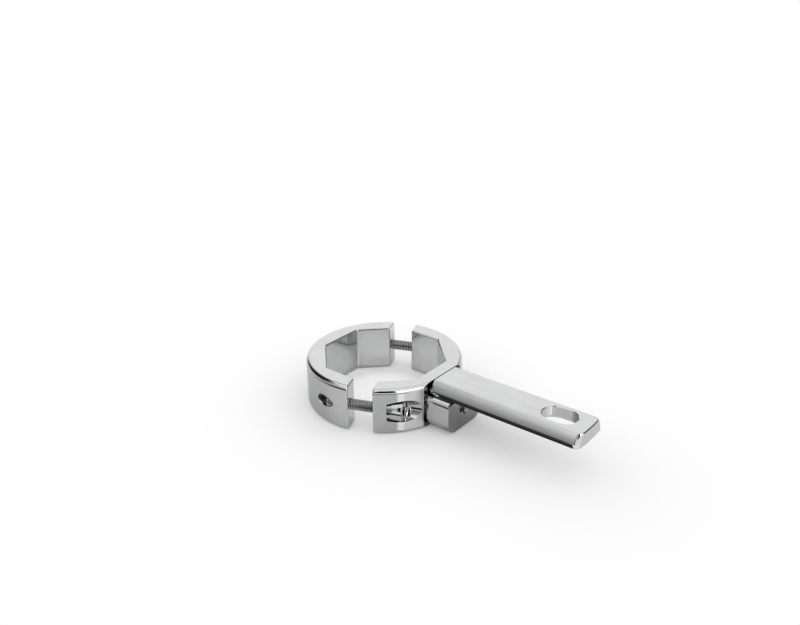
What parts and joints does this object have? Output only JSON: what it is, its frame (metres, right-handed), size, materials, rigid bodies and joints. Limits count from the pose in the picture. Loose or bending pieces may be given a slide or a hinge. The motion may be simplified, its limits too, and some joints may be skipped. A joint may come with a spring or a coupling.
{
  "type": "headlight mounting bracket",
  "caption": "Chromed split ring clamp for a fork tube, drawn shut by socket head bolts, with a slotted flat arm that turns on a toothed joint.",
  "frame": {"origin": "centre line of the fork bore at the ring's lower face", "axes": "+Z along the bore, upwards; +X from the bore along the lamp arm towards its slot"},
  "size_m": [0.1642, 0.0891, 0.0259],
  "materials": {
    "chromed_alloy": "polished",
    "chromed_steel": "polished"
  },
  "bodies": {
    "arm_half": {"arm_half_ring": "chromed_alloy", "split_washer_front": "chromed_steel", "split_washer_back": "chromed_steel"},
    "outer_half": {"outer_half_ring": "chromed_alloy"},
    "front_bolt": {"clamp_bolt_front": "chromed_steel"},
    "back_bolt": {"clamp_bolt_back": "chromed_steel"},
    "arm": {"lamp_arm": "chromed_alloy"},
    "pivot": {"pivot_screw": "chromed_steel"}
  },
  "joints": [
    {"name": "front_bolt_turn", "type": "hinge", "parent": "arm_half", "child": "front_bolt", "pos_m": [0.028, -0.02737, 0.0125], "axis": [-0.9239, -0.3827, 0], "range_deg": [-2881, 4321]},
    {"name": "back_bolt_turn", "type": "hinge", "parent": "arm_half", "child": "back_bolt", "pos_m": [0.00045, 0.03915, 0.0125], "axis": [-0.9239, -0.3827, 0], "range_deg": [-2881, 4321]},
    {"name": "gap_close", "type": "slide", "parent": "arm_half", "child": "outer_half", "axis": [0.9239, 0.3827, 0], "range_m": [-0.008, 0.012]},
    {"name": "arm_turn", "type": "hinge", "parent": "arm_half", "child": "arm", "pos_m": [0.0394, 0, 0.0125], "axis": [1, 0, 0], "continuous": true},
    {"name": "pivot_screw_turn", "type": "hinge", "parent": "arm_half", "child": "pivot", "pos_m": [0.0314, 0, 0.0125], "axis": [1, 0, 0], "range_deg": [-360, 180]}
  ],
  "couplings": [
    {"joint": "front_bolt_turn", "follows": "gap_close", "rad_per_m": 6283.2},
    {"joint": "back_bolt_turn", "follows": "gap_close", "rad_per_m": 6283.2}
  ]
}
